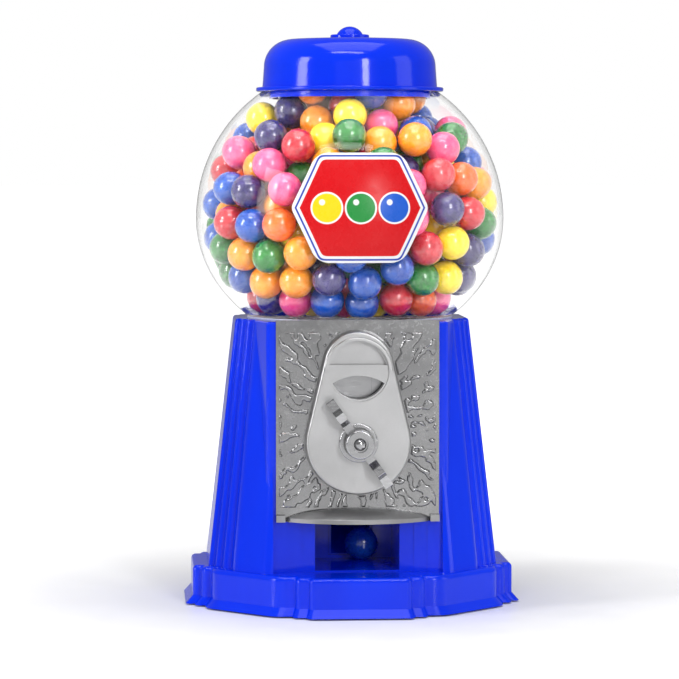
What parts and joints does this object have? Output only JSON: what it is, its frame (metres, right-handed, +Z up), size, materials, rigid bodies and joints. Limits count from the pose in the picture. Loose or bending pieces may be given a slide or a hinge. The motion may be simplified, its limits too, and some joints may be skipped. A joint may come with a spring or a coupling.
{
  "type": "gumball machine",
  "caption": "Tabletop gumball machine: clear globe of gumballs on a stepped plastic base with a coin mechanism, turning handle, delivery alcove and lift-off lid.",
  "frame": {"origin": "on the supporting surface under the middle of the foot", "axes": "+Z up; the coin mechanism and alcove face -Y; +X is to the viewer's right when facing the front"},
  "size_m": [0.1594, 0.1594, 0.275],
  "materials": {
    "blue_plastic": "glossy moulded plastic",
    "lid_plastic": "glossy moulded plastic",
    "cover_plastic": "textured moulded plastic",
    "feet_rubber": "soft rubber",
    "clear_plastic": "clear polystyrene",
    "seal_rubber": "translucent silicone",
    "cast_plate": "satin cast metal",
    "face_metal": "satin cast metal",
    "lever_metal": "polished steel",
    "steel": "plated steel",
    "brass": "turned brass",
    "deck_plastic": "moulded plastic",
    "wheel_plastic": "moulded acetal",
    "label_vinyl": "printed gloss sticker",
    "candy_red": "glossy sugar shell",
    "candy_orange": "glossy sugar shell",
    "candy_amber": "glossy sugar shell",
    "candy_yellow": "glossy sugar shell",
    "candy_green": "glossy sugar shell",
    "candy_blue": "glossy sugar shell",
    "candy_purple": "glossy sugar shell",
    "candy_pink": "glossy sugar shell"
  },
  "bodies": {
    "housing": {"base_foot": "blue_plastic", "base_tower": "blue_plastic", "alcove_tray": "blue_plastic", "base_cover": "cover_plastic", "base_cover_screws": "steel", "rubber_feet": "feet_rubber", "front_plate": "cast_plate", "frame_screws": "steel", "face_screws": "steel", "coin_faceplate": "face_metal", "coin_guide": "face_metal", "hub_bezel": "lever_metal", "front_bushing": "brass", "mech_frame": "steel", "middle_bushing": "brass", "rear_bushing": "brass", "pawl_pin": "steel", "hopper_deck": "deck_plastic", "deck_screws": "steel", "deck_bushing": "brass", "neck_seal": "seal_rubber", "globe_gasket": "seal_rubber", "ball_guard": "deck_plastic", "ball_chute": "blue_plastic", "chute_screws": "steel", "coin_deflector": "blue_plastic", "globe": "clear_plastic", "globe_label": "label_vinyl", "gumball_dispensed": "candy_blue", "gumballs_red": "candy_red", "gumballs_orange": "candy_orange", "gumballs_amber": "candy_amber", "gumballs_yellow": "candy_yellow", "gumballs_green": "candy_green", "gumballs_blue": "candy_blue", "gumballs_purple": "candy_purple", "gumballs_pink": "candy_pink"},
    "handle": {"handle_lever": "lever_metal", "drive_shaft": "steel", "hub_screw": "steel", "coin_carrier": "steel", "ratchet_wheel": "steel", "drive_pinion": "wheel_plastic", "shaft_clip": "steel"},
    "dispenser": {"dispensing_wheel": "wheel_plastic", "wheel_spindle": "steel", "wheel_nut": "steel", "crown_gear": "wheel_plastic", "gumballs_in_wheel": "candy_yellow"},
    "pawl": {"pawl": "steel"},
    "lid": {"lid": "lid_plastic", "lid_knob": "lid_plastic", "knob_screw": "steel"},
    "bank_door": {"bank_door": "cover_plastic"}
  },
  "joints": [
    {"name": "dispenser_turn", "type": "hinge", "parent": "housing", "child": "dispenser", "pos_m": [0, 0, 0.116], "axis": [0, 0, 1], "continuous": true},
    {"name": "handle_turn", "type": "hinge", "parent": "housing", "child": "handle", "pos_m": [0, -0.04, 0.0802], "axis": [0, 1, 0], "continuous": true},
    {"name": "pawl_lift", "type": "hinge", "parent": "housing", "child": "pawl", "pos_m": [0.0195, -0.0453, 0.0882], "axis": [0, -1, 0], "range_deg": [0, 12], "stiffness_Nm_per_rad": 0.002},
    {"name": "lid_lift", "type": "slide", "parent": "housing", "child": "lid", "axis": [0, 0, 1], "range_m": [0, 0.06]},
    {"name": "bank_door_turn", "type": "hinge", "parent": "housing", "child": "bank_door", "pos_m": [0, 0, 0.0024], "axis": [0, 0, 1], "range_deg": [0, 75]}
  ],
  "couplings": [
    {"joint": "handle_turn", "follows": "dispenser_turn", "ratio": 4}
  ]
}
